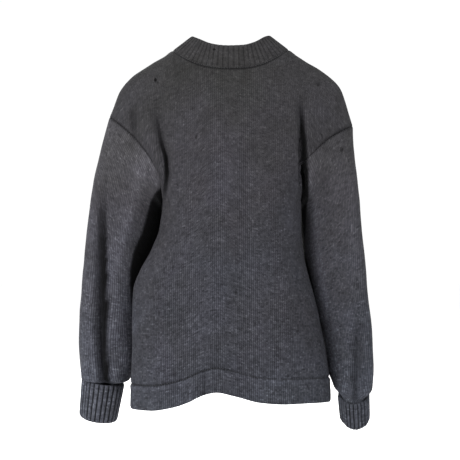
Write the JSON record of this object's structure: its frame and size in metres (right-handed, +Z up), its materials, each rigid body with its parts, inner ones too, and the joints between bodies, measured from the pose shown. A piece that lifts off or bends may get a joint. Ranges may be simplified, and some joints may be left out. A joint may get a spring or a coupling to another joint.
{
  "type": "cardigan",
  "caption": "Hip-length knitted cardigan with dropped shoulders, ribbed neckband and front bands, turned-up hem and turned-back ribbed cuffs.",
  "frame": {"origin": "middle of the neck base, between the two neck points, where the wearer's shoulders hold the garment up", "axes": "+Z up towards the neckband, +X to the wearer's left, the front faces -Y"},
  "size_m": [0.5314, 0.2425, 0.7049],
  "materials": {
    "knit": "matte heathered wool knit",
    "band_rib": "matte ribbed wool knit",
    "cuff_rib": "matte coarse ribbed wool knit",
    "button": "plain dark buttons"
  },
  "bodies": {
    "root": {"back": "knit", "front_left": "knit", "front_right": "knit", "sleeve_left": "knit", "sleeve_right": "knit", "cuff_left": "cuff_rib", "cuff_right": "cuff_rib", "neckband": "band_rib", "band_left": "band_rib", "band_right": "band_rib", "button_1": "button", "button_2": "button", "button_3": "button", "button_4": "button", "button_5": "button"}
  },
  "joints": []
}
